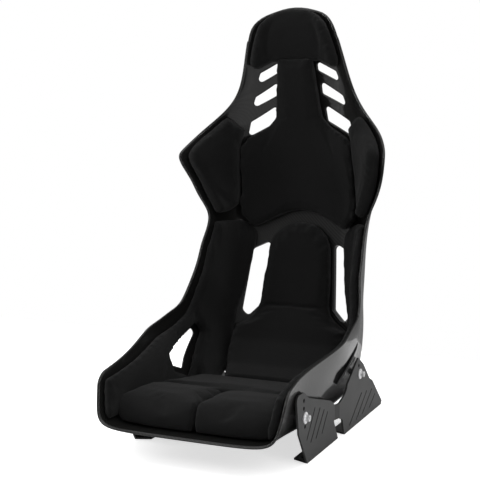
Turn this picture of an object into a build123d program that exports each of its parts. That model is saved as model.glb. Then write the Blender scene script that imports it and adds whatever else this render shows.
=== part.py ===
"""Fixed-back racing bucket seat with loose pads on two floor side brackets, in millimetres.

The seat faces -Y and stands on Z = 0, with X = 0 as its plane of symmetry. Lengths along
the seat are given as a distance back from the front lip, and back() turns one into Y.
"""

import os
from math import atan2, comb, degrees, hypot

from build123d import *

# ---- driving dimensions -------------------------------------------------------------
DEPTH = 668.0  # front lip to the rearmost point of the back
SHELL_WALL = 3.5  # laminate thickness
PAD_GAP = 3.0  # laminate to the back of a pad, taken up by the fastening strips
PAD_THICK = 28.0  # head and back pads
BOLSTER_THICK = 16.0  # side bolster pads
STRIP_GAP = 0.6  # laminate to the fastening strip
STRIP_THICK = 1.8

BRACKET_INNER = 196.0  # X of the front plate's inner face
BRACKET_PLATE = 4.0
BRACKET_JOG = 4.0  # the rear plate stands this much further out
FLANGE_WIDTH = 30.0  # floor flange, turned inwards
FLANGE_HOLE = 4.5
FLANGE_X = 182.0
SIDE_HOLE = 4.3  # clearance for M8
BOLT_RADIUS = 4.0
FRONT_BOLT = (146.0, 98.0)  # back from the lip, height
REAR_BOLT = (489.0, 113.0)
FLOOR_BOLTS = (185.0, 622.0)  # back from the lip
INSERT_RADIUS = 7.0
WASHER_RADIUS = 12.0
WASHER_THICK = 2.0
HEAD_RADIUS = 6.5
HEAD_HEIGHT = 8.0
SOCKET_RADIUS = 3.5

LIP_CORNER = 24.0  # corner radius where the front edge of a side meets its top
HEAD_CORNER = 75.0
HEAD_CROWN = 150.0
WINDOW_CORNER = 9.0  # lumbar windows and pan vents
SLOT_CORNER = 6.0  # harness slots and lap-strap windows
BRACKET_CORNER = 12.0  # upper front of the front plate
STRAP_MARGIN = 6.0  # the cushions clear the crotch-strap opening by half of this
LINES = 31  # lines of points laid over a surface, and points in each
COLUMNS = 25


def back(distance):
    """Y of a place given as its distance back from the front lip."""
    return distance - DEPTH / 2


SIDE_VIEW = Plane(origin=(0, back(0), 0), x_dir=(0, 1, 0), z_dir=(1, 0, 0))
FRONT_VIEW = Plane(origin=(0, 0, 0), x_dir=(1, 0, 0), z_dir=(0, -1, 0))
TOP_VIEW = Plane(origin=(0, back(0), 0), x_dir=(1, 0, 0), z_dir=(0, 0, 1))

# ---- shape of the shell -------------------------------------------------------------
# Stations from the front lip over the pan and up the back to the top of the head.
# Each holds: centre line (distance, height), rim (half width, distance, height),
# flat half width, wall (half width, depth) and the outward bulge of the flank.
STATIONS = [
    (0, 72, 203, 31, 171, 228, 175, 0, 15),
    (95, 62, 200, 99, 187, 223, 166, 0, 3),
    (255, 52, 217, 217, 211, 235, 149, 0, 9),
    (335, 50, 227, 279, 224, 243, 120, 0, 37),
    (418, 51, 225, 323, 233, 252, 106, 0, 61),
    (503, 66, 221, 373, 246, 263, 113, 6, 58),
    (566, 98, 217, 416, 262, 256, 139, 50, 44),
    (594, 150, 211, 446, 299, 220, 176, 70, 16),
    (607, 218, 204, 466, 338, 210, 179, 66, 6),
    (624, 285, 202, 483, 369, 198, 180, 58, 4),
    (643, 360, 200, 500, 403, 182, 181, 50, 2),
    (657, 430, 200, 532, 463, 170, 184, 42, 0),
    (664, 500, 222, 522, 512, 165, 190, 46, 0),
    (663, 560, 240, 505, 558, 150, 197, 52, 0),
    (658, 610, 253, 478, 605, 135, 198, 60, 0),
    (652, 650, 249, 491, 622, 125, 192, 54, 0),
    (645, 692, 226, 532, 658, 115, 165, 34, 0),
    (635, 731, 187, 565, 700, 105, 140, 22, 0),
    (620, 795, 148, 586, 756, 88, 115, 13, 0),
    (600, 885, 117, 570, 864, 75, 92, 10, 0),
    (586, 961, 90, 555, 950, 60, 72, 8, 0),
]


def station_places():
    """Place of each station from 0 at the lip to 1 at the top, by length along the shell."""
    places = [0.0]
    for a, b in zip(STATIONS[:-1], STATIONS[1:]):
        middle = hypot(b[0] - a[0], b[1] - a[1])
        edge = hypot(b[2] - a[2], b[3] - a[3], b[4] - a[4])
        places.append(places[-1] + (middle + edge) / 2)
    return [p / places[-1] for p in places]


def curve_bends(places, values):
    """Second derivatives of the natural cubic spline through the values."""
    n = len(places)
    diagonal, right = [1.0], [0.0]
    for i in range(1, n - 1):
        h0, h1 = places[i] - places[i - 1], places[i + 1] - places[i]
        slope = (values[i + 1] - values[i]) / h1 - (values[i] - values[i - 1]) / h0
        above = h0 if i > 1 else 0.0
        factor = h0 / diagonal[-1]
        diagonal.append(2 * (h0 + h1) - factor * above)
        right.append(6 * slope - factor * right[-1])
    bends = [0.0] * n
    for i in range(n - 2, 0, -1):
        bends[i] = (right[i] - (places[i + 1] - places[i]) * bends[i + 1]) / diagonal[i]
    return bends


PLACES = station_places()
TRACKS = [list(track) for track in zip(*STATIONS)]
BENDS = [curve_bends(PLACES, track) for track in TRACKS]


def station_at(u):
    """The nine station values at any place between 0 and 1."""
    i = max(k for k in range(len(PLACES) - 1) if PLACES[k] <= u or k == 0)
    h = PLACES[i + 1] - PLACES[i]
    a, b = (PLACES[i + 1] - u) / h, (u - PLACES[i]) / h
    return [
        a * t[i] + b * t[i + 1] + ((a**3 - a) * m[i] + (b**3 - b) * m[i + 1]) * h * h / 6
        for t, m in zip(TRACKS, BENDS)
    ]


def inner(u, v):
    """Point of the shell's inner face: u runs lip to head, v from -1 to 1 across it."""
    mid_y, mid_z, rim_x, rim_y, rim_z, flat, wall_x, wall_d, bulge = station_at(u)
    depth = hypot(rim_y - mid_y, rim_z - mid_z)
    controls = [
        (0, 0),
        (flat / 2, 0),
        (flat, 0),
        (wall_x, wall_d),
        ((wall_x + rim_x) / 2 + bulge, (wall_d + depth) / 2),
        (rim_x, depth),
    ]
    t = abs(v)
    weights = [comb(5, i) * t**i * (1 - t) ** (5 - i) for i in range(6)]
    x = sum(w * c[0] for w, c in zip(weights, controls))
    rise = sum(w * c[1] for w, c in zip(weights, controls)) / depth
    y = mid_y + (rim_y - mid_y) * rise
    z = mid_z + (rim_z - mid_z) * rise
    return Vector(x if v >= 0 else -x, back(y), z)


def lifted(u, v, height):
    """Point standing off the inner face towards the driver."""
    du, dv = 0.002, 0.01
    u0, u1 = max(u - du, 0), min(u + du, 1)
    v0, v1 = max(v - dv, -1), min(v + dv, 1)
    along = inner(u1, v) - inner(u0, v)
    across = inner(u, v1) - inner(u, v0)
    return inner(u, v) + across.cross(along).normalized() * height


def place_of(height):
    """The place up the back whose centre line is at this height."""
    low, high = PLACES[4], 1.0
    for _ in range(40):
        middle = (low + high) / 2
        low, high = (middle, high) if station_at(middle)[1] < height else (low, middle)
    return low


def flank_point(distance, height):
    """The point of the right flank's inner face at a place in side view."""
    best = None
    for i in range(240):
        for j in range(20, 100):
            point = inner(PLACES[12] * i / 240, j / 100)
            miss = hypot(point.Y - back(distance), point.Z - height)
            if best is None or miss < best[0]:
                best = (miss, point)
    return best[1]


def slab(u0, u1, v0, v1, height, thickness, lines=LINES, columns=COLUMNS):
    """Layer over part of the inner face, lifted off it; a negative thickness goes outwards."""
    grid = []
    for i in range(lines):
        u = u0 + (u1 - u0) * i / (lines - 1)
        vs = [v0 + (v1 - v0) * j / (columns - 1) for j in range(columns)]
        grid.append([lifted(u, v, height) for v in vs])
    face = Face.make_surface_from_array_of_points(grid, tol=0.05)
    with BuildPart(mode=Mode.PRIVATE) as layer:
        thicken(face, amount=-thickness)
    return layer.part


# ---- outlines -----------------------------------------------------------------------
# Front-view outlines hold (X, Z) of the right side; side-view ones hold (distance, Z).
HARNESS_SLOTS = [
    [(48, 834), (49, 812), (107, 781), (97, 808)],
    [(55, 787), (57, 757), (122, 723), (112, 751)],
    [(62, 731), (66, 692), (136, 653), (128, 690)],
]
LUMBAR_WINDOW = [(83, 396), (97, 236), (126, 206), (139, 222), (126, 374)]
FOOT_VENT = [(108, 452), (150, 452), (164, 505), (152, 536), (118, 502)]  # X, distance back
FOOT_VENT_TOP = 130.0
SIDE_WINDOW = [(320, 132), (318, 155), (367, 169), (446, 195), (453, 182), (387, 136)]
SIDE_WINDOW += [(363, 116)]
SIDE_TRIM = [(31, 172), (90, 186.5), (90, 1000), (800, 1000), (800, -50), (-38.5, -50)]
HEAD_TRIM = [(300, -50), (300, 872), (116, 872), (96, 936), (0, 968)]
HEAD_TRIM += [(-x, z) for x, z in reversed(HEAD_TRIM[:-1])]
STRAP_OPENING = (0, 214, 70, 30)  # X, distance back, length across, width

HEAD_PAD = [(0, 844), (50, 838), (60, 842), (100, 821), (108, 829), (104, 852), (91, 890)]
HEAD_PAD += [(79, 915), (60, 934), (34, 946), (0, 950)]
UPPER_PAD = [(0, 475), (38, 468), (75, 450), (102, 436), (122, 430), (145, 457), (151, 487)]
UPPER_PAD += [(147, 560), (143, 628), (124, 652), (78, 678), (57, 702), (50, 770), (43, 838), (0, 838)]
SHOULDER_PAD = [(300, 470), (176, 470), (158, 490), (153, 560), (149, 635), (139, 672), (170, 700)]
SHOULDER_PAD += [(300, 640)]
LUMBAR_PAD = [(0, 40), (66, 40), (72, 74), (104, 86), (128, 108), (143, 140), (148, 168)]
LUMBAR_PAD += [(140, 190), (126, 198), (108, 207), (95, 222), (89, 245), (87, 300), (79, 385)]
LUMBAR_PAD += [(68, 409), (38, 436), (0, 442)]
LUMBAR_SIDE = [(412, 36), (412, 92), (466, 112), (528, 160), (584, 240), (612, 345), (629, 446)]
LUMBAR_SIDE += [(680, 446), (664, 360), (645, 285), (628, 218), (614, 145), (585, 84), (510, 48)]
BOLSTER_FRONT = [(300, 40), (112, 40), (112, 74), (146, 104), (151, 140), (153, 180), (147, 206)]
BOLSTER_FRONT += [(148, 222), (132, 285), (123, 350), (117, 400), (119, 419), (134, 436)]
BOLSTER_FRONT += [(152, 446), (300, 452)]
BOLSTER_TOP = [(300, -40), (173, -40), (173, 409), (114, 410), (130, 440), (142, 475), (152, 545)]
BOLSTER_TOP += [(104, 580), (104, 700), (300, 700)]
BOLSTER_WINDOW = [(296, 124), (294, 160), (356, 180), (446, 211), (468, 186), (402, 124)]
BOLSTER_WINDOW += [(366, 99)]
CUSHION_SIDE = 171.0
CUSHION_GROOVE = 5.0
LOBE_PROFILE = [(45, 40), (45, 74), (50, 112), (64, 126), (130, 128), (208, 118), (208, 40)]
BASE_PROFILE = [(214, 40), (214, 117), (400, 92), (406, 86), (406, 40)]

HEAD_STRIP = [(-60, 865), (-60, 915), (60, 915), (60, 865)]
UPPER_STRIP = [(-110, 520), (-110, 600), (110, 600), (110, 520)]
SHOULDER_STRIP = [(175, 540), (175, 610), (205, 610), (205, 540)]
LUMBAR_STRIP = [(-55, 270), (-55, 390), (55, 390), (55, 270)]
BOLSTER_STRIP = [(170, 96), (170, 146), (300, 146), (300, 96)]
LOBE_STRIP = [(50, 90), (50, 180), (120, 180), (120, 90)]
BASE_STRIP = [(-110, 260), (-110, 370), (110, 370), (110, 260)]

FRONT_PLATE = [(161, 0), (113, 72), (101, 137), (101, 151), (138, 151), (168, 133), (301, 95)]
FRONT_PLATE += [(327, 79), (327, 46), (321, 46), (349, 0)]
REAR_PLATE = [(346, 79), (346, 46), (366, 38), (381, 0), (660, 0), (667, 8), (588, 76), (563, 87)]
REAR_PLATE += [(515, 131), (476, 153), (400, 108), (396, 99), (378, 88)]
FRONT_HOLES = [(139, 134), (139, 118), FRONT_BOLT, (146, 80)]
REAR_HOLES = [(480, 134), REAR_BOLT]
FRONT_SLITS = [((202, 104), (157, 50)), ((232, 96), (180, 39)), ((257, 86), (210, 39))]
FRONT_SLITS += [((279, 76), (246, 40))]
REAR_SLITS = [((502, 65), (416, 12)), ((541, 61), (466, 12)), ((581, 56), (512, 15))]
REAR_SLITS += [((606, 38), (566, 16))]
SLIT_WIDTH = 3.4

os.makedirs("parts", exist_ok=True)


def finish(part, name):
    """Label a finished piece and write its file."""
    part.label = name
    export_step(part, f"parts/{name}.step")


def outline(corners, radius=0.0, both_sides=False):
    """Add a filled outline to the open sketch, with its mirror image if asked."""
    with BuildSketch(mode=Mode.PRIVATE) as shape:
        with BuildLine():
            Polyline(corners, close=True)
        make_face()
        if radius:
            fillet(shape.vertices(), radius)
    add(shape.sketch)
    if both_sides:
        add(mirror(shape.sketch, Plane.YZ, mode=Mode.PRIVATE))


# ---- shell --------------------------------------------------------------------------
FRONT_WALL = flank_point(*FRONT_BOLT).X
REAR_WALL = flank_point(*REAR_BOLT).X

with BuildPart() as shell:
    add(slab(0, 1, -1, 1, 0, -SHELL_WALL, lines=61, columns=41))
    # harness slots and lumbar windows through the back, vents in the rear corners of the pan
    with BuildSketch(FRONT_VIEW):
        for slot in HARNESS_SLOTS:
            outline(slot, SLOT_CORNER, both_sides=True)
        outline(LUMBAR_WINDOW, WINDOW_CORNER, both_sides=True)
    extrude(amount=-DEPTH, mode=Mode.SUBTRACT)
    with BuildSketch(TOP_VIEW):
        outline(FOOT_VENT, WINDOW_CORNER, both_sides=True)
    extrude(amount=FOOT_VENT_TOP, mode=Mode.SUBTRACT)
    # lap-strap windows in the flanks, and holes for the side inserts
    with BuildSketch(SIDE_VIEW):
        outline(SIDE_WINDOW, SLOT_CORNER)
        with Locations(FRONT_BOLT, REAR_BOLT):
            Circle(INSERT_RADIUS + 0.1)
    extrude(amount=300, both=True, mode=Mode.SUBTRACT)
    # crotch-strap opening in the pan
    with BuildSketch(TOP_VIEW):
        with Locations(STRAP_OPENING[:2]):
            SlotOverall(*STRAP_OPENING[2:])
    extrude(amount=100, mode=Mode.SUBTRACT)
    # rounded upper corners of the flanks' front edges
    with BuildSketch(SIDE_VIEW):
        outline(SIDE_TRIM)
        fillet(vertices().sort_by_distance(SIDE_TRIM[0])[0], LIP_CORNER)
    extrude(amount=300, both=True, mode=Mode.INTERSECT)
    # rounded corners and crown of the head
    with BuildSketch(FRONT_VIEW):
        outline(HEAD_TRIM)
        fillet(vertices().group_by(Axis.Y)[-2], HEAD_CORNER)
        fillet(vertices().group_by(Axis.Y)[-1], HEAD_CROWN)
    extrude(amount=DEPTH, both=True, mode=Mode.INTERSECT)
finish(shell.part, "shell")

# ---- layers that the pads and their fastening strips are cut from --------------------
back_layer = slab(place_of(400), 0.995, -0.94, 0.94, PAD_GAP, PAD_THICK)
flank_layer = slab(0.008, place_of(460), 0.3, 0.945, PAD_GAP, BOLSTER_THICK)
strip_layer = slab(0.01, 0.99, -0.9, 0.9, STRIP_GAP, STRIP_THICK, lines=61, columns=41)
backing = slab(0, PLACES[12], -0.85, 0.85, PAD_GAP, -80)


def cut_from(layer, plane, corners, both_sides=False):
    """The piece of a layer inside an outline seen from the front, side or top."""
    with BuildPart(mode=Mode.PRIVATE) as piece:
        add(layer)
        with BuildSketch(plane):
            outline(corners, both_sides=both_sides)
        extrude(amount=2 * DEPTH, both=True, mode=Mode.INTERSECT)
    return piece.part


def finish_pair(part, name):
    """Write a right-hand piece and its mirror image."""
    finish(part, f"{name}_right")
    with BuildPart() as left:
        mirror(part, about=Plane.YZ)
    finish(left.part, f"{name}_left")


# ---- pads up the back ---------------------------------------------------------------
finish(cut_from(back_layer, FRONT_VIEW, HEAD_PAD, both_sides=True), "head_pad")
finish(cut_from(back_layer, FRONT_VIEW, UPPER_PAD, both_sides=True), "upper_back_pad")
finish_pair(cut_from(back_layer, FRONT_VIEW, SHOULDER_PAD), "shoulder_pad")

with BuildPart() as lumbar_pad:
    with BuildSketch(SIDE_VIEW):
        outline(LUMBAR_SIDE)
    extrude(amount=CUSHION_SIDE, both=True)
    with BuildSketch(FRONT_VIEW):
        outline(LUMBAR_PAD, both_sides=True)
    extrude(amount=DEPTH, both=True, mode=Mode.INTERSECT)
    add(backing, mode=Mode.SUBTRACT)
finish(lumbar_pad.part, "lumbar_pad")

# ---- side bolsters and seat cushions ------------------------------------------------
with BuildPart() as bolster:
    add(cut_from(cut_from(flank_layer, FRONT_VIEW, BOLSTER_FRONT), TOP_VIEW, BOLSTER_TOP))
    with BuildSketch(SIDE_VIEW):
        outline(BOLSTER_WINDOW, WINDOW_CORNER)
    extrude(amount=300, mode=Mode.SUBTRACT)
finish_pair(bolster.part, "side_bolster")

with BuildPart() as strap_gap:
    with BuildSketch(TOP_VIEW):
        with Locations(STRAP_OPENING[:2]):
            SlotOverall(STRAP_OPENING[2] + STRAP_MARGIN, STRAP_OPENING[3] + STRAP_MARGIN)
    extrude(amount=200)

with BuildPart() as thigh_cushion:
    with BuildSketch(SIDE_VIEW.offset(CUSHION_GROOVE)):
        outline(LOBE_PROFILE)
    extrude(amount=CUSHION_SIDE - CUSHION_GROOVE)
    add(backing, mode=Mode.SUBTRACT)
    add(strap_gap.part, mode=Mode.SUBTRACT)
finish_pair(thigh_cushion.part, "thigh_cushion")

with BuildPart() as seat_base_pad:
    with BuildSketch(SIDE_VIEW):
        outline(BASE_PROFILE)
    extrude(amount=CUSHION_SIDE, both=True)
    add(backing, mode=Mode.SUBTRACT)
    add(strap_gap.part, mode=Mode.SUBTRACT)
finish(seat_base_pad.part, "seat_base_pad")

# ---- hook-and-loop strips that hold the pads to the shell ----------------------------
finish(cut_from(strip_layer, FRONT_VIEW, HEAD_STRIP), "head_pad_strip")
finish(cut_from(strip_layer, FRONT_VIEW, UPPER_STRIP), "upper_back_strip")
finish(cut_from(strip_layer, FRONT_VIEW, LUMBAR_STRIP), "lumbar_strip")
finish(cut_from(strip_layer, TOP_VIEW, BASE_STRIP), "seat_base_strip")
finish_pair(cut_from(strip_layer, FRONT_VIEW, SHOULDER_STRIP), "shoulder_strip")
finish_pair(cut_from(strip_layer, TOP_VIEW, LOBE_STRIP), "thigh_strip")

with BuildPart() as bolster_strip:
    add(strip_layer)
    with BuildSketch(SIDE_VIEW):
        outline(BOLSTER_STRIP)
    extrude(amount=300, mode=Mode.INTERSECT)
finish_pair(bolster_strip.part, "bolster_strip")

# ---- side brackets ------------------------------------------------------------------
REAR_INNER = BRACKET_INNER + BRACKET_JOG


def slit(ends):
    """A slanted slot between two centre points, in the open sketch."""
    (y0, z0), (y1, z1) = ends
    length = hypot(y1 - y0, z1 - z0)
    with Locations(((y0 + y1) / 2, (z0 + z1) / 2)):
        SlotCenterToCenter(length, SLIT_WIDTH, rotation=degrees(atan2(z0 - z1, y0 - y1)))


with BuildPart() as bracket:
    # upright plates, the rear one stepped outwards
    for x, corners, holes, slits in (
        (BRACKET_INNER, FRONT_PLATE, FRONT_HOLES, FRONT_SLITS),
        (REAR_INNER, REAR_PLATE, REAR_HOLES, REAR_SLITS),
    ):
        with BuildSketch(SIDE_VIEW.offset(x)):
            outline(corners)
            with Locations(holes):
                Circle(SIDE_HOLE, mode=Mode.SUBTRACT)
        extrude(amount=BRACKET_PLATE)
        with BuildSketch(SIDE_VIEW.offset(x)):
            for ends in slits:
                slit(ends)
        extrude(amount=BRACKET_PLATE, mode=Mode.SUBTRACT)
    upper_front = (BRACKET_INNER, back(FRONT_PLATE[3][0]), FRONT_PLATE[3][1])
    fillet(edges().filter_by(Axis.X).sort_by_distance(upper_front)[:2], BRACKET_CORNER)
    # the step between them
    with BuildSketch(TOP_VIEW.offset(46)):
        with BuildLine():
            Polyline(
                [(BRACKET_INNER, 327), (BRACKET_INNER + BRACKET_PLATE, 327)]
                + [(REAR_INNER + BRACKET_PLATE, 346), (REAR_INNER, 346)],
                close=True,
            )
        make_face()
    extrude(amount=79 - 46)
    # floor flanges with their bolt holes
    for x, start, end in ((BRACKET_INNER, 161, 349), (REAR_INNER, 381, 655)):
        with BuildSketch(TOP_VIEW):
            with BuildLine():
                Polyline(
                    [(x, start), (x - FLANGE_WIDTH, start + 12), (x - FLANGE_WIDTH, end - 12), (x, end)],
                    close=True,
                )
            make_face()
            with Locations([(FLANGE_X, place) for place in FLOOR_BOLTS]):
                Circle(FLANGE_HOLE, mode=Mode.SUBTRACT)
        extrude(amount=BRACKET_PLATE)
finish_pair(bracket.part, "side_bracket")

# ---- fasteners ----------------------------------------------------------------------
JOINTS = (
    (FRONT_BOLT, FRONT_WALL, BRACKET_INNER),
    (REAR_BOLT, REAR_WALL, REAR_INNER),
)

with BuildPart() as inserts:
    for place, wall, plate in JOINTS:
        with BuildSketch(SIDE_VIEW.offset(wall + 0.5)):
            with Locations(place):
                Circle(INSERT_RADIUS)
                Circle(BOLT_RADIUS, mode=Mode.SUBTRACT)
        extrude(amount=plate - wall - 0.5)
finish_pair(inserts.part, "shell_inserts")

with BuildPart() as washers:
    for place, wall, plate in JOINTS:
        with BuildSketch(SIDE_VIEW.offset(plate + BRACKET_PLATE)):
            with Locations(place):
                Circle(WASHER_RADIUS)
                Circle(SIDE_HOLE, mode=Mode.SUBTRACT)
        extrude(amount=WASHER_THICK)
    chamfer(edges().filter_by(GeomType.CIRCLE).group_by(SortBy.RADIUS)[-1].group_by(Axis.X)[-1], 0.5)
finish_pair(washers.part, "mount_washers")

with BuildPart() as bolts:
    for place, wall, plate in JOINTS:
        seat = plate + BRACKET_PLATE + WASHER_THICK
        with BuildSketch(SIDE_VIEW.offset(wall + 2)):
            with Locations(place):
                Circle(BOLT_RADIUS - 0.1)
        extrude(amount=seat - wall - 2)
        with BuildSketch(SIDE_VIEW.offset(seat)):
            with Locations(place):
                Circle(HEAD_RADIUS)
        extrude(amount=HEAD_HEIGHT)
        with BuildSketch(SIDE_VIEW.offset(seat + HEAD_HEIGHT)):
            with Locations(place):
                RegularPolygon(SOCKET_RADIUS, 6)
        extrude(amount=-HEAD_HEIGHT / 2, mode=Mode.SUBTRACT)
finish_pair(bolts.part, "mount_bolts")
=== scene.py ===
"""Looks of a fixed-back racing bucket seat: a moulded black laminate shell, foam pads under knitted
covers, and painted steel side brackets, in a plain studio.

The frame is in metres. The shell's own design numbers are in millimetres and are scaled by MM.
"""

from math import comb, cos, pi, radians, sin

import bmesh
import bpy
import numpy as np
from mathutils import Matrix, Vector
from mathutils.bvhtree import BVHTree


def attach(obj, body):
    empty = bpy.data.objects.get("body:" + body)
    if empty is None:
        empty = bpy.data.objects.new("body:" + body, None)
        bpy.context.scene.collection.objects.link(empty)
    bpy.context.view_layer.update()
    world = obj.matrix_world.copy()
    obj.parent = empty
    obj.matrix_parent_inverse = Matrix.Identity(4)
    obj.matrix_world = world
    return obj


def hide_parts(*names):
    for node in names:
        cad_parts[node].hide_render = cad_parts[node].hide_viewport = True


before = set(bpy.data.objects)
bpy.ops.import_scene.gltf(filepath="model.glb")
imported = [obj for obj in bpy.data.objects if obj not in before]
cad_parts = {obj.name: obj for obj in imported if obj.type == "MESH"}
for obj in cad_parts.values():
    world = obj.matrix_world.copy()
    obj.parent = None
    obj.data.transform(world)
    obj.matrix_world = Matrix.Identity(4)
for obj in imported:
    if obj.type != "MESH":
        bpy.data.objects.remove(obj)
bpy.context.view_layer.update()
scene = bpy.context.scene

MM = 0.001

# ---- shape of the shell, in millimetres ----------------------------------------------
DEPTH = 668.0  # front lip to the rearmost point of the back
SHELL_WALL = 3.5
CELL = 3.6  # spacing of the shell's mesh
RIM_ROLL = 4.5  # radius of the rolled rim, which is also how far inside the rim the roll starts
RIM_TURN = 82  # degrees that the rim turns back
EDGE_ROLL = 3.0  # radius at the edge of an opening, measured as at the rim
FLANGE_TURN = 90  # degrees that the edge of an opening turns back where a flange follows
PLAIN_TURN = 50  # the same where no flange follows
FLANGE_WALL = 2.2  # thickness of a flange
LIP_CORNER = 24.0
HEAD_TRIM = [(0, 968), (96, 936), (180, 667), (-180, 667), (-96, 936)]  # (x, z) of the head's top
HEAD_CORNERS = [150, 75, 5, 5, 75]  # corner radii of that outline
HEAD_FROM = 880.0  # the outline trims only what lies above this height

# Stations from the front lip over the pan and up the back to the top of the head.
# Each holds: centre line (distance back, height), rim (half width, distance, height),
# flat half width, wall (half width, depth) and the outward bulge of the flank.
STATIONS = [
    (0, 72, 203, 31, 171, 228, 175, 0, 15),
    (95, 62, 200, 99, 187, 223, 166, 0, 3),
    (255, 52, 217, 217, 211, 235, 149, 0, 9),
    (335, 50, 227, 279, 224, 243, 120, 0, 37),
    (418, 51, 225, 323, 233, 252, 106, 0, 61),
    (503, 66, 221, 373, 246, 263, 113, 6, 58),
    (566, 98, 217, 416, 262, 256, 139, 50, 44),
    (594, 150, 211, 446, 299, 220, 176, 70, 16),
    (607, 218, 204, 466, 338, 210, 179, 66, 6),
    (624, 285, 202, 483, 369, 198, 180, 58, 4),
    (643, 360, 200, 500, 403, 182, 181, 50, 2),
    (657, 430, 200, 532, 463, 170, 184, 42, 0),
    (664, 500, 222, 522, 512, 165, 190, 46, 0),
    (663, 560, 240, 505, 558, 150, 197, 52, 0),
    (658, 610, 253, 478, 605, 135, 198, 60, 0),
    (652, 650, 249, 491, 622, 125, 192, 54, 0),
    (645, 692, 226, 532, 658, 115, 165, 34, 0),
    (635, 731, 187, 565, 700, 105, 140, 22, 0),
    (620, 795, 148, 586, 756, 88, 115, 13, 0),
    (600, 885, 117, 570, 864, 75, 92, 10, 0),
    (586, 961, 90, 555, 950, 60, 72, 8, 0),
]

# Openings of the right half, with the corner radius and the depth of the flange turned back
# round each. FRONT outlines hold (x, z), TOP ones (x, distance back), SIDE ones (distance, z).
OPENINGS = [
    ("FRONT", [(48, 834), (49, 812), (107, 781), (97, 808)], 6, 2),
    ("FRONT", [(55, 787), (57, 757), (122, 723), (112, 751)], 6, 2),
    ("FRONT", [(62, 731), (66, 692), (136, 653), (128, 690)], 6, 2),
    ("FRONT", [(83, 396), (97, 236), (126, 206), (139, 222), (126, 374)], 9, 12),
    ("TOP", [(108, 452), (150, 452), (164, 505), (152, 536), (118, 502)], 9, 4),
    ("SIDE", [(320, 132), (318, 155), (367, 169), (446, 195), (453, 182), (387, 136), (363, 116)],
     6, 0),
    ("TOP", [(-35, 199), (35, 199), (35, 229), (-35, 229)], 14, 4),
]
PAN_TOP = 130.0  # TOP outlines cut only what lies below this height
BACK_BOTTOM = 180.0  # FRONT outlines cut only what lies above this height
FAR = 1000.0  # a distance that stands for no opening near
FLATTEST = 0.35  # least growth of a flat distance, per length along the surface, to allow for
SNAP = 0.04  # a cut this near a node of the grid, as a share of the cell's side, moves onto it
NUDGE = 0.001  # a node less than this inside a cut counts as this far inside


def natural_spline(places, values):
    """Second derivatives of the natural cubic splines through the columns of values."""
    steps = np.diff(places)
    system, right = np.eye(len(places)), np.zeros_like(values)
    for i in range(1, len(places) - 1):
        system[i, i - 1 : i + 2] = steps[i - 1], 2 * (steps[i - 1] + steps[i]), steps[i]
        rise = (values[i + 1] - values[i]) / steps[i] - (values[i] - values[i - 1]) / steps[i - 1]
        right[i] = 6 * rise
    return np.linalg.solve(system, right)


def station_places(stations):
    """Place of each station from 0 at the lip to 1 at the top, by length along the shell."""
    middle = np.hypot(*np.diff(stations[:, 0:2], axis=0).T)
    edge = np.linalg.norm(np.diff(stations[:, 2:5], axis=0), axis=1)
    places = np.concatenate([[0.0], np.cumsum((middle + edge) / 2)])
    return places / places[-1]


STATION_TABLE = np.array(STATIONS, float)
PLACES = station_places(STATION_TABLE)
BENDS = natural_spline(PLACES, STATION_TABLE)


def shell_point(u, v):
    """Points of the shell's inner face in millimetres: u runs lip to head, v from -1 to 1 across it."""
    u, v = np.broadcast_arrays(u, v)
    i = np.clip(np.searchsorted(PLACES, u, side="right") - 1, 0, len(PLACES) - 2)
    step = PLACES[i + 1] - PLACES[i]
    a, b = (PLACES[i + 1] - u) / step, (u - PLACES[i]) / step
    values = a[..., None] * STATION_TABLE[i] + b[..., None] * STATION_TABLE[i + 1]
    values += ((a**3 - a)[..., None] * BENDS[i] + (b**3 - b)[..., None] * BENDS[i + 1]) * (
        step[..., None] ** 2 / 6
    )
    mid_y, mid_z, rim_x, rim_y, rim_z, flat, wall_x, wall_d, bulge = np.moveaxis(values, -1, 0)
    depth = np.hypot(rim_y - mid_y, rim_z - mid_z)
    none = np.zeros_like(flat)
    across = [none, flat / 2, flat, wall_x, (wall_x + rim_x) / 2 + bulge, rim_x]
    rising = [none, none, none, wall_d, (wall_d + depth) / 2, depth]
    t = np.abs(v)
    weights = [comb(5, k) * t**k * (1 - t) ** (5 - k) for k in range(6)]
    x = sum(w * c for w, c in zip(weights, across))
    rise = sum(w * c for w, c in zip(weights, rising)) / depth
    y = mid_y + (rim_y - mid_y) * rise - DEPTH / 2
    return np.stack([np.copysign(x, v), y, mid_z + (rim_z - mid_z) * rise], axis=-1)


def unit(vectors):
    return vectors / np.maximum(np.linalg.norm(vectors, axis=-1, keepdims=True), 1e-12)


def shell_normal(u, v):
    """Unit normals of the inner face, towards the driver."""
    du, dv = 0.002, 0.01
    along = shell_point(np.minimum(u + du, 1), v) - shell_point(np.maximum(u - du, 0), v)
    across = shell_point(u, np.minimum(v + dv, 1)) - shell_point(u, np.maximum(v - dv, -1))
    return unit(np.cross(across, along))


# ---- the shell's mesh ----------------------------------------------------------------
def run_along(points):
    """Length along each line of points, which run over the last axis but one."""
    steps = np.linalg.norm(np.diff(points, axis=-2), axis=-1)
    return np.concatenate([np.zeros_like(steps[..., :1]), np.cumsum(steps, axis=-1)], axis=-1)


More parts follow.
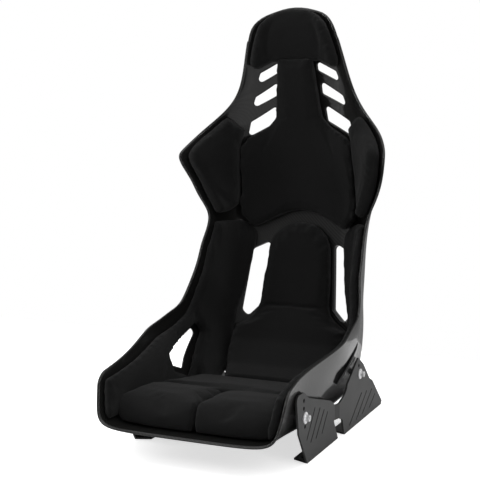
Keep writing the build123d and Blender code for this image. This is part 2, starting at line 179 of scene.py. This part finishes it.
def even_grid(edge):
    """Nodes spread evenly over the shell, up to edge inside its rim.
    Returns u, v, the distances to the side, the lip and the head, and flat cloth coordinates."""
    fine_u, fine_v = np.linspace(0, 1, 161), np.linspace(-1, 1, 241)
    runs = run_along(shell_point(fine_u[:, None], fine_v[None, :]))
    columns = 2 * round(runs[:, -1].mean() / CELL / 2) + 1
    share = np.linspace(0, 1, columns)
    v_lines = np.array(
        [np.interp(edge + share * (run[-1] - 2 * edge), run, fine_v) for run in runs]
    )
    widths = runs[:, -1] - 2 * edge
    lines = run_along(shell_point(fine_u[:, None], v_lines).transpose(1, 0, 2))
    rows = round(lines[:, -1].mean() / CELL) + 1
    u = np.zeros((rows, columns))
    v, side, front, top = u.copy(), u.copy(), u.copy(), u.copy()
    for j, run in enumerate(lines):
        place = np.linspace(edge, run[-1] - edge, rows)
        u[:, j] = np.interp(place, run, fine_u)
        v[:, j] = np.interp(u[:, j], fine_u, v_lines[:, j])
        side[:, j] = min(share[j], 1 - share[j]) * np.interp(u[:, j], fine_u, widths)
        front[:, j], top[:, j] = place - edge, run[-1] - edge - place
    flat_x = (share[None, :] - 0.5) * np.interp(u, fine_u, widths)
    return u, v, side, front, top, np.stack([flat_x, front], axis=-1)


def rounded(corners, radius, steps=6):
    """A closed outline with its corners rounded by arcs, as an array of points."""
    corners = np.array(corners, float)
    radii = np.broadcast_to(radius, len(corners))
    points = []
    for before, at, after, radius in zip(
        np.roll(corners, 1, 0), corners, np.roll(corners, -1, 0), radii
    ):
        to_before, to_after = unit(before - at), unit(after - at)
        half = np.arccos(np.clip(to_before @ to_after, -1, 1)) / 2
        start, end = at + to_before * radius / np.tan(half), at + to_after * radius / np.tan(half)
        centre = at + unit(to_before + to_after) * radius / np.sin(half)
        first, last = unit(start - centre), unit(end - centre)
        span = np.arccos(np.clip(first @ last, -1, 1))
        for k in range(steps + 1):
            turn = span * k / steps
            arm = (first * np.sin(span - turn) + last * np.sin(turn)) / np.sin(span)
            points.append(centre + arm * radius)
    return np.array(points)


def distance_outside(points, outline):
    """Distance of 2-D points from a closed outline, negative inside it."""
    ends = np.roll(outline, -1, 0)
    nearest = np.full(points.shape[:-1], np.inf)
    inside = np.zeros(points.shape[:-1], bool)
    for a, b in zip(outline, ends):
        arm, edge = points - a, b - a
        t = np.clip((arm @ edge) / max(edge @ edge, 1e-12), 0, 1)
        nearest = np.minimum(nearest, np.linalg.norm(arm - t[..., None] * edge, axis=-1))
        crosses = (a[1] > points[..., 1]) != (b[1] > points[..., 1])
        slope = (b[0] - a[0]) * (points[..., 1] - a[1]) / np.where(a[1] == b[1], 1, b[1] - a[1])
        inside ^= crosses & (points[..., 0] < a[0] + slope)
    return np.where(inside, -nearest, nearest)


def slope_on(points, values):
    """Gradient of node values along the surface, as 3-D vectors in the tangent plane."""
    pr, pc = np.gradient(points, axis=0), np.gradient(points, axis=1)
    fr, fc = np.gradient(values, axis=0), np.gradient(values, axis=1)
    rr, cc, rc = (pr * pr).sum(-1), (pc * pc).sum(-1), (pr * pc).sum(-1)
    det = np.maximum(rr * cc - rc * rc, 1e-9)
    return ((fr * cc - fc * rc) / det)[..., None] * pr + ((fc * rr - fr * rc) / det)[..., None] * pc


def rim_distance(points, side, front, top):
    """Distance inside the outline of the whole shell, rounded at the lip and round the head."""
    inside = np.minimum(side, np.minimum(front, top))
    radius = LIP_CORNER - RIM_ROLL
    corner = (side < radius) & (front < radius)
    inside = np.where(corner, radius - np.hypot(radius - side, radius - front), inside)
    head = -distance_outside(points[..., (0, 2)], rounded(HEAD_TRIM, HEAD_CORNERS)) - RIM_ROLL
    return np.where(points[..., 2] > HEAD_FROM, np.minimum(inside, head), inside)


def opening_distance(points, view, outline, reach):
    """Distance along the surface from an opening's edge, beyond the roll round it."""
    x, y, z = np.abs(points[..., 0]), points[..., 1] + DEPTH / 2, points[..., 2]
    flat = {"FRONT": (x, z), "TOP": (x, y), "SIDE": (y, z)}[view]
    gap = distance_outside(np.stack(flat, axis=-1), outline)
    gap = gap / np.maximum(np.linalg.norm(slope_on(points, gap), axis=-1), FLATTEST) - reach
    if view == "TOP":
        gap = np.where(z < PAN_TOP, gap, FAR)
    if view == "FRONT":
        gap = np.where(z > BACK_BOTTOM, gap, FAR)
    return gap


def clip_faces(keep, nodes):
    """Faces of a grid where keep is not negative, cut along keep = 0.
    Returns the node values at each vertex used and the faces, which turn anticlockwise."""
    rows, columns = keep.shape
    flat_keep, flat_nodes = keep.ravel(), nodes.reshape(rows * columns, -1)
    values, index, faces = [], {}, []

    def vertex(key, value):
        if key not in index:
            index[key] = len(values)
            values.append(value)
        return index[key]

    def corner(a):
        return vertex((a, a), flat_nodes[a])

    def crossing(a, b):
        a, b = (a, b) if flat_keep[a] >= 0 else (b, a)
        t = flat_keep[a] / (flat_keep[a] - flat_keep[b])
        if t < SNAP:
            return corner(a)
        return vertex((a, b), flat_nodes[a] * (1 - t) + flat_nodes[b] * t)

    for i in range(rows - 1):
        for j in range(columns - 1):
            a = i * columns + j
            ring = (a, a + 1, a + columns + 1, a + columns)
            kept = [flat_keep[k] >= 0 for k in ring]
            if not any(kept):
                continue
            face = []
            for k in range(4):
                here, after = ring[k], ring[(k + 1) % 4]
                if kept[k]:
                    face.append(corner(here))
                if kept[k] != kept[(k + 1) % 4]:
                    face.append(crossing(here, after))
            face = [p for n, p in enumerate(face) if p != face[n - 1]]
            if len(set(face)) >= 3:
                faces.append(face)
    return np.array(values), faces


def boundary_loops(faces):
    """Closed loops of vertices round the edges that only one face uses."""
    used = {(face[k - 1], face[k]) for face in faces for k in range(len(face))}
    following = {a: b for a, b in used if (b, a) not in used}
    loops = []
    while following:
        loop = [next(iter(following))]
        while loop[-1] in following:
            loop.append(following.pop(loop[-1]))
        loops.append(loop[:-1])
    return loops


def edge_profile(radius, degrees, flange, lip):
    """Section of a rolled edge from the inner face to the outer one, as (outwards, backwards).
    A point that would repeat its neighbour is left out."""
    turn = radians(degrees)
    ahead, inwards = np.array([cos(turn), sin(turn)]), np.array([-sin(turn), cos(turn)])
    arc = [np.array([radius * sin(a), radius * (1 - cos(a))]) for a in np.linspace(0, turn, 7)]
    end, half = arc[-1] + ahead * flange, lip / 2
    cap = [end + inwards * half + (ahead * sin(b) - inwards * cos(b)) * half
           for b in np.linspace(0, pi, 7)]
    centre, small = np.array([0, radius]), radius - lip
    back = [centre + small * np.array([sin(a), -cos(a)]) for a in np.linspace(turn, 0, 4)]
    section = arc[1:] + (cap + back if flange else cap[1:] + back[1:])
    return section if lip < SHELL_WALL else section[:-1]


# columns of the values that each vertex of the inner face carries
U, V, OWNER = 0, 1, 13
CLOTH, INWARDS, ACROSS, ALONG = slice(2, 4), slice(4, 7), slice(7, 10), slice(10, 13)


def inner_face():
    """The inner face up to where its edges start to roll: vertex values and faces."""
    u, v, side, front, top, cloth = even_grid(RIM_ROLL)
    points = shell_point(u, v)
    keep = rim_distance(points, side, front, top)
    owner = np.zeros(keep.shape)
    for number, (view, corners, radius, _) in enumerate(OPENINGS, 1):
        gap = opening_distance(points, view, rounded(corners, radius), EDGE_ROLL)
        owner = np.where(gap < keep, number, owner)
        keep = np.minimum(keep, gap)
    inwards = slope_on(points, keep)
    along, across = np.gradient(points, axis=0), np.gradient(points, axis=1)
    keep = np.where((keep > -1e-6) & (keep < NUDGE), NUDGE, keep)
    nodes = np.concatenate(
        [u[..., None], v[..., None], cloth, inwards, unit(across), unit(along), owner[..., None]],
        axis=-1,
    )
    return clip_faces(keep, nodes)


def edge_sections():
    """Section of the edge at the rim, under 0, and at each opening, under its number."""
    sections = {0: edge_profile(RIM_ROLL, RIM_TURN, 0, SHELL_WALL)}
    for number, (_, _, _, flange) in enumerate(OPENINGS, 1):
        turn, lip = (FLANGE_TURN, FLANGE_WALL) if flange else (PLAIN_TURN, SHELL_WALL)
        sections[number] = edge_profile(EDGE_ROLL, turn, flange, lip)
    return sections


def make_shell():
    """The closed shell mesh with its rolled rim and the flanges round its openings.
    Returns places in metres, faces and the flat cloth coordinates of each place."""
    values, faces = inner_face()
    at = shell_point(values[:, U], values[:, V])
    normal = shell_normal(values[:, U], values[:, V])
    count = len(at)
    outer = [[k + count for k in reversed(face)] for face in faces]
    places = [at, at - normal * SHELL_WALL]
    cloth_at = [values[:, CLOTH], values[:, CLOTH]]
    strips = []
    total = 2 * count
    sections = edge_sections()
    for loop in boundary_loops(faces):
        base, up, carried = at[loop], normal[loop], values[loop]
        out = -carried[:, INWARDS]
        out = unit(out - (out * up).sum(-1, keepdims=True) * up)
        stretch = np.stack([(out * carried[:, axis]).sum(-1) for axis in (ACROSS, ALONG)], axis=-1)
        rings = [list(loop)]
        travel, last = 0.0, np.zeros(2)
        for step in sections[round(np.median(carried[:, OWNER]))]:
            travel, last = travel + np.hypot(*(step - last)), step
            places.append(base + out * step[0] - up * step[1])
            cloth_at.append(carried[:, CLOTH] + stretch * travel)
            rings.append(list(range(total, total + len(loop))))
            total += len(loop)
        rings.append([k + count for k in loop])
        for ring, beyond in zip(rings[:-1], rings[1:]):
            for k in range(len(loop)):
                strips.append([ring[k], ring[k - 1], beyond[k - 1], beyond[k]])
    return np.concatenate(places) * MM, faces + outer + strips, np.concatenate(cloth_at) * MM


# ---- making pieces -------------------------------------------------------------------
def new_piece(name, verts, faces):
    mesh = bpy.data.meshes.new(name)
    mesh.from_pydata([tuple(p) for p in verts], [], faces)
    mesh.update()
    mesh.shade_smooth()
    piece = bpy.data.objects.new(name, mesh)
    scene.collection.objects.link(piece)
    return piece


def settle(piece, node, material):
    """Put a finished piece in the place of a CAD node."""
    piece.data.materials.clear()
    piece.data.materials.append(material)
    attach(piece, "root")
    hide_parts(node)


# ---- materials -----------------------------------------------------------------------
class Wiring:
    """A node tree being put together."""

    def __init__(self, tree):
        self.tree = tree

    def add(self, kind, inputs=None, **settings):
        """A new node; an input is given a number, a colour or another node's output."""
        node = self.tree.nodes.new(kind)
        for name, value in settings.items():
            setattr(node, name, value)
        self.feed(node, inputs or {})
        return node

    def feed(self, node, inputs):
        for name, value in inputs.items():
            if isinstance(value, bpy.types.NodeSocket):
                self.tree.links.new(value, node.inputs[name])
            else:
                node.inputs[name].default_value = value

    def calc(self, operation, *values):
        """The result of a Math node."""
        return self.add("ShaderNodeMath", dict(enumerate(values)), operation=operation).outputs[0]


class Paint(Wiring):
    """A node material being put together."""

    def __init__(self, name):
        self.material = bpy.data.materials.new(name)
        self.material.use_nodes = True
        super().__init__(self.material.node_tree)
        self.shader = self.tree.nodes["Principled BSDF"]


def grey(level, tint=(1.0, 1.0, 1.0)):
    return (level * tint[0], level * tint[1], level * tint[2], 1.0)


TOW = 0.0021  # width of one bundle of fibres in the laminate


def laminate():
    """Black 2 by 2 twill under a deep clear coat, laid by the flat coordinates of the cloth; the warp
    tows carry a painted sheen, lighter and warmer than the weft.
    """
    p = Paint("twill_laminate")
    flat = p.add("ShaderNodeUVMap", uv_map="cloth").outputs[0]
    parts = p.add("ShaderNodeSeparateXYZ", {0: flat}).outputs
    across, along = (p.calc("DIVIDE", parts[k], TOW) for k in (0, 1))
    tow_x, tow_y = p.calc("FLOOR", across), p.calc("FLOOR", along)
    diagonal = p.calc("FLOORED_MODULO", p.calc("ADD", tow_x, tow_y), 4.0)
    warp = p.calc("LESS_THAN", diagonal, 2.0)
    within_x, within_y = p.calc("FRACT", across), p.calc("FRACT", along)
    within = p.add("ShaderNodeMix", {0: warp, 2: within_y, 3: within_x}).outputs[0]
    crown = p.calc("SINE", p.calc("MULTIPLY", within, pi))
    fine = p.add("ShaderNodeVectorMath", {0: flat, 1: (900, 900, 900)}, operation="MULTIPLY")
    strands = p.add(
        "ShaderNodeTexNoise", {"Vector": fine.outputs[0], "Scale": 1.0, "Detail": 2.0}
    ).outputs[0]
    # painted sheen: warp tows are painted lighter and warmer than weft tows, standing in for the
    # different gloss of the two fibre directions
    painted_twill_sheen = p.add(
        "ShaderNodeMix", {0: warp, 6: grey(0.0045), 7: grey(0.015, (1, 0.98, 0.95))},
        data_type="RGBA",
    ).outputs[2]
    height = p.calc("ADD", crown, p.calc("MULTIPLY", strands, 0.25))
    bump = p.add("ShaderNodeBump", {"Strength": 0.35, "Distance": 0.0002, "Height": height})
    p.feed(p.shader, {
        "Base Color": painted_twill_sheen, "Roughness": 0.34, "IOR": 1.5, "Metallic": 0.05,
        "Specular IOR Level": 0.1, "Normal": bump.outputs[0],
        "Coat Weight": 0.7, "Coat Roughness": 0.08, "Coat IOR": 1.42,
    })
    return p.material


def cover(name, level, stitch, roughness):
    """Knitted cover cloth: small loops, a soft nap, slightly uneven dye and painted shade in the
    hollows between the loops.
    """
    p = Paint(name)
    at = p.add("ShaderNodeTexCoord").outputs["Object"]
    x, y, z = p.add("ShaderNodeSeparateXYZ", {0: at}).outputs[:3]
    one = p.calc("ADD", x, p.calc("MULTIPLY", y, 0.37))
    two = p.calc("ADD", z, p.calc("MULTIPLY", y, 0.83))
    pitch = 2 * pi / stitch
    rows = p.calc("SINE", p.calc("MULTIPLY", two, pitch))
    sway = p.calc("MULTIPLY", rows, 0.8)
    wales = p.calc("SINE", p.calc("ADD", p.calc("MULTIPLY", one, pitch), sway))
    loops = p.calc("MULTIPLY", p.calc("ADD", wales, 1.0), p.calc("ADD", rows, 1.4))
    nap = p.add("ShaderNodeTexNoise", {"Vector": at, "Scale": 2600.0, "Detail": 3.0}).outputs[0]
    cloud = p.add("ShaderNodeTexNoise", {"Vector": at, "Scale": 9.0, "Detail": 3.0}).outputs[0]
    # uneven dye from the large noise, plus painted shade: the colour is lighter on the loop crowns and
    # darker in the low hollows between the loops
    dye_and_loop_shade = p.add(
        "ShaderNodeMix",
        {0: p.calc("ADD", p.calc("MULTIPLY", loops, 0.16), p.calc("MULTIPLY", cloud, 0.35)),
         6: grey(level * 0.55), 7: grey(level * 1.5, (0.98, 0.98, 1.0))},
        data_type="RGBA",
    ).outputs[2]
    height = p.calc("ADD", loops, p.calc("MULTIPLY", nap, 1.2))
    bump = p.add("ShaderNodeBump", {"Strength": 0.5, "Distance": 0.0004, "Height": height})
    p.feed(p.shader, {
        "Base Color": dye_and_loop_shade, "Roughness": roughness, "Specular IOR Level": 0.12,
        "Normal": bump.outputs[0], "Sheen Weight": 0.06, "Sheen Roughness": 0.5,
    })
    return p.material


def hook_tape():
    """Hook-and-loop tape: a dense field of small stiff hooks."""
    p = Paint("hook_tape")
    at = p.add("ShaderNodeTexCoord").outputs["Object"]
    dots = p.add("ShaderNodeTexVoronoi", {"Vector": at, "Scale": 700.0}).outputs[0]
    bump = p.add("ShaderNodeBump", {"Strength": 0.8, "Distance": 0.0006, "Height": dots})
    tone = p.add("ShaderNodeMix", {0: dots, 6: grey(0.018), 7: grey(0.006)}, data_type="RGBA")
    p.feed(p.shader, {"Base Color": tone.outputs[2], "Roughness": 0.7, "Normal": bump.outputs[0]})
    return p.material


def powder_coat():
    """Satin grey powder coat on plate with its fine orange peel; faces that do not face sideways, such
    as the cut edges, bends and foot flanges, are painted near-black as painted shade.
    """
    p = Paint("powder_coat")
    at = p.add("ShaderNodeTexCoord").outputs["Object"]
    facing = p.add("ShaderNodeNewGeometry").outputs["True Normal"]
    side = p.calc("ABSOLUTE", p.add("ShaderNodeSeparateXYZ", {0: facing}).outputs[0])
    flat = p.calc("GREATER_THAN", side, 0.9)
    peel = p.add("ShaderNodeTexNoise", {"Vector": at, "Scale": 1400.0, "Detail": 2.0}).outputs[0]
    patch = p.add("ShaderNodeTexNoise", {"Vector": at, "Scale": 14.0, "Detail": 4.0}).outputs[0]
    # painted shade: only faces turned to either side keep the satin grey, all other faces are painted
    # near-black
    tone = p.add("ShaderNodeMix", {0: flat, 6: grey(0.006), 7: grey(0.022)}, data_type="RGBA")
    bump = p.add("ShaderNodeBump", {"Strength": 0.25, "Distance": 0.0002, "Height": peel})
    worn = p.calc("ADD", 0.42, p.calc("MULTIPLY", patch, 0.12))
    p.feed(p.shader, {"Base Color": tone.outputs[2], "Roughness": worn, "Normal": bump.outputs[0]})
    return p.material


def steel(name, level, roughness, grain):
    """Turned or plated steel with fine lathe marks."""
    p = Paint(name)
    at = p.add("ShaderNodeTexCoord").outputs["Object"]
    lines = p.add("ShaderNodeTexNoise", {"Vector": at, "Scale": grain, "Detail": 3.0}).outputs[0]
    bump = p.add("ShaderNodeBump", {"Strength": 0.15, "Distance": 0.0001, "Height": lines})
    rough = p.calc("ADD", roughness, p.calc("MULTIPLY", lines, 0.15))
    p.feed(p.shader, {"Base Color": grey(level, (1, 1, 1.01)), "Metallic": 1.0,
                      "Roughness": rough, "Normal": bump.outputs[0]})
    return p.material


LAMINATE = laminate()
PAD_COVER = cover("knitted_cover", 0.0054, 0.0016, 0.95)
CUSHION_COVER = cover("cushion_cover", 0.0057, 0.002, 0.92)
HOOK_TAPE = hook_tape()
POWDER_COAT = powder_coat()
PLATED_STEEL = steel("plated_steel", 0.9, 0.38, 900.0)
TURNED_STEEL = steel("turned_steel", 0.3, 0.32, 600.0)

# ---- the shell -----------------------------------------------------------------------
shell_verts, shell_faces, shell_cloth = make_shell()
shell = new_piece("moulded_shell", shell_verts, shell_faces)
cloth_layer = shell.data.uv_layers.new(name="cloth")
corner_verts = np.zeros(len(shell.data.loops), int)
shell.data.loops.foreach_get("vertex_index", corner_verts)
cloth_layer.data.foreach_set("uv", shell_cloth[corner_verts].astype(np.float32).ravel())
settle(shell, "shell", LAMINATE)
shell_tree = BVHTree.FromPolygons([Vector(p) for p in shell_verts], shell_faces)

# ---- pads ----------------------------------------------------------------------------
VOXEL = 0.005
BACK_REACH = 0.0075  # what lies this near the shell is held by the fastening strips
SWELL_FRAMES = 20
PRESSURE = 4.0


def remeshed(node):
    """An even closed mesh of a CAD node's shape, with its corners softened."""
    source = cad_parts[node]
    mesh = source.data.copy()
    piece = bpy.data.objects.new(node + "_soft", mesh)
    scene.collection.objects.link(piece)
    piece.data.materials.clear()
    bm = bmesh.new()
    bm.from_mesh(mesh)
    bmesh.ops.remove_doubles(bm, verts=bm.verts, dist=1e-5)
    bm.to_mesh(mesh)
    bm.free()
    remesh = piece.modifiers.new("even", "REMESH")
    remesh.mode, remesh.voxel_size, remesh.use_smooth_shade = "VOXEL", VOXEL, True
    smooth = piece.modifiers.new("soften", "SMOOTH")
    smooth.factor, smooth.iterations = 0.5, 6
    return piece


def bake(piece):
    """Replace a piece's mesh by what its modifiers make of it."""
    shown = piece.evaluated_get(bpy.context.evaluated_depsgraph_get())
    mesh = bpy.data.meshes.new_from_object(shown)
    piece.modifiers.clear()
    piece.data = mesh


def places_of(piece):
    at = np.zeros(len(piece.data.vertices) * 3, np.float32)
    piece.data.vertices.foreach_get("co", at)
    return at.reshape(-1, 3).astype(float)


def move_to(piece, places):
    piece.data.vertices.foreach_set("co", places.astype(np.float32).ravel())
    piece.data.update()


def shell_gaps(places):
    """Distance of each place from the shell."""
    return np.array([shell_tree.find_nearest(Vector(p))[3] for p in places])


def fill_out(piece, grow, sink):
    """Push the free faces of a softened piece back out to where its cover sits, then sink
    them towards the back of the seat, for a pad thinner than its block."""
    at = places_of(piece)
    normals = np.array([tuple(n.vector) for n in piece.data.vertex_normals])
    share = np.clip((shell_gaps(at) - BACK_REACH) / BACK_REACH, 0, 1)[:, None]
    move_to(piece, at + share * (normals * grow + (0, sink, 0)))


def swell(piece, cap):
    """Puff a pad with the cloth solver, holding its back, and limit how far a point moves."""
    before = places_of(piece)
    held = piece.vertex_groups.new(name="held")
    for k in np.flatnonzero(shell_gaps(before) < BACK_REACH):
        held.add([int(k)], 1.0, "REPLACE")
    cloth = piece.modifiers.new("swell", "CLOTH")
    cloth.settings.vertex_group_mass = "held"
    cloth.settings.quality = 4
    cloth.settings.tension_stiffness = 12
    cloth.settings.compression_stiffness = 12
    cloth.settings.shear_stiffness = 6
    cloth.settings.bending_stiffness = 1.5
    cloth.settings.use_pressure = True
    cloth.settings.uniform_pressure_force = PRESSURE
    cloth.settings.effector_weights.gravity = 0
    cloth.collision_settings.use_collision = False
    for number in range(1, SWELL_FRAMES + 1):
        scene.frame_set(number)
    bake(piece)
    moved = places_of(piece) - before
    length = np.linalg.norm(moved, axis=1, keepdims=True)
    move_to(piece, before + moved * np.minimum(1, cap / np.maximum(length, 1e-9)))
    scene.frame_set(1)


def mirrored(piece, name):
    verts = places_of(piece) * (-1, 1, 1)
    faces = [list(reversed(face.vertices)) for face in piece.data.polygons]
    return new_piece(name, verts, faces)


def make_pad(node, material, cap=0.005, grow=0.0015, sink=0.0, pair=False):
    """A stuffed pad in the place of its CAD solid, and its mirror image on the left if asked.
    cap is how far a point may swell, grow how far the cover stands out and sink how far it lies
    back, all in metres."""
    source = node + "_right" if pair else node
    piece = remeshed(source)
    bake(piece)
    fill_out(piece, grow, sink)
    swell(piece, cap)
    finer = piece.modifiers.new("finer", "SUBSURF")
    finer.levels = finer.render_levels = 1
    bake(piece)
    piece.data.shade_smooth()
    made = [(piece, source)]
    if pair:
        made.append((mirrored(piece, node + "_left_soft"), node + "_left"))
    for soft, stands_for in made:
        settle(soft, stands_for, material)


make_pad("head_pad", PAD_COVER, grow=0.006, sink=0.01)
make_pad("upper_back_pad", PAD_COVER)
make_pad("lumbar_pad", PAD_COVER)
make_pad("shoulder_pad", PAD_COVER, grow=0.003, pair=True)
make_pad("side_bolster", PAD_COVER, cap=0.003, pair=True)
make_pad("thigh_cushion", CUSHION_COVER, cap=0.006, pair=True)
make_pad("seat_base_pad", CUSHION_COVER, cap=0.006)

# ---- brackets, fasteners and strips --------------------------------------------------
for name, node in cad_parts.items():
    if "strip" in name:
        finish = HOOK_TAPE
    elif "bracket" in name:
        finish = POWDER_COAT
    elif "washers" in name or "bolts" in name:
        finish = PLATED_STEEL
    elif "inserts" in name:
        finish = TURNED_STEEL
    else:
        continue
    for place in node.material_slots:
        place.material = finish

# ---- studio --------------------------------------------------------------------------
FLOOR_LIFT = 0.65  # glow that takes the floor to near white for the lens, and lights nothing
FLOOR_CORNERS = [(-3, -3.5, 0), (3, -3.5, 0), (3, 0.9, 0), (-3, 0.9, 0)]


def pale_floor():
    """Matt off-white paint."""
    p = Paint("pale_floor")
    lens_ray = p.add("ShaderNodeLightPath").outputs["Is Camera Ray"]
    p.feed(p.shader, {
        "Base Color": grey(0.9), "Roughness": 0.9, "Specular IOR Level": 0.1,
        "Emission Color": grey(1.0), "Emission Strength": p.calc("MULTIPLY", lens_ray, FLOOR_LIFT),
    })
    return p.material


def soft_light(name, place, target, size, power):
    light = bpy.data.lights.new(name, "AREA")
    light.shape, light.size, light.size_y, light.energy = "RECTANGLE", size[0], size[1], power
    lamp = bpy.data.objects.new(name, light)
    lamp.location = place
    lamp.rotation_mode = "QUATERNION"
    lamp.rotation_quaternion = (Vector(target) - Vector(place)).to_track_quat("-Z", "Y")
    scene.collection.objects.link(lamp)


def white_sky():
    """A white sky to the lens; on the seat it is bright overhead and dim near the horizon."""
    world = bpy.data.worlds.new("studio")
    world.use_nodes = True
    sky = Wiring(world.node_tree)
    direction = sky.add("ShaderNodeTexCoord").outputs["Generated"]
    height = sky.add("ShaderNodeSeparateXYZ", {0: direction}).outputs[2]
    climb = sky.add(
        "ShaderNodeMapRange",
        {"Value": height, "From Min": 0.4, "From Max": 0.8, "To Min": 0.28, "To Max": 1.0},
        interpolation_type="SMOOTHSTEP",
    )
    lens_ray = sky.add("ShaderNodeLightPath").outputs["Is Camera Ray"]
    strength = sky.add("ShaderNodeMix", {0: lens_ray, 2: climb.outputs[0], 3: 1.0})
    sky.feed(sky.tree.nodes["Background"], {"Color": grey(1.0), "Strength": strength.outputs[0]})
    return world


floor = new_piece("studio_floor", FLOOR_CORNERS, [(0, 1, 2, 3)])
floor.data.materials.append(pale_floor())

soft_light("top_box", (0.2, -0.3, 3.0), (0, 0, 0.3), (1.6, 1.6), 14)
soft_light("left_strip", (-2.2, -1.1, 1.3), (0, 0, 0.4), (0.12, 2.0), 16)
soft_light("right_strip", (1.7, -1.2, 1.3), (0, 0, 0.4), (0.1, 1.8), 9)
soft_light("front_box", (-0.9, -2.6, 2.0), (0, 0, 0.6), (1.4, 0.8), 14)
scene.world = white_sky()

# ---- camera --------------------------------------------------------------------------
FOCAL_LENGTH, SENSOR = 74.793, 36.0
CAMERA_PLACE = (0.88404, -2.00062, 0.64788)
CAMERA_DIP, CAMERA_TURN = 0.10068, 0.42761  # radians below level, and to the left of straight ahead

lens = bpy.data.cameras.new("camera")
lens.sensor_width, lens.lens = SENSOR, FOCAL_LENGTH
camera = bpy.data.objects.new("camera", lens)
camera.location = CAMERA_PLACE
camera.rotation_euler = (pi / 2 - CAMERA_DIP, 0, CAMERA_TURN)
scene.collection.objects.link(camera)
scene.camera = camera
scene.view_settings.view_transform = "Standard"
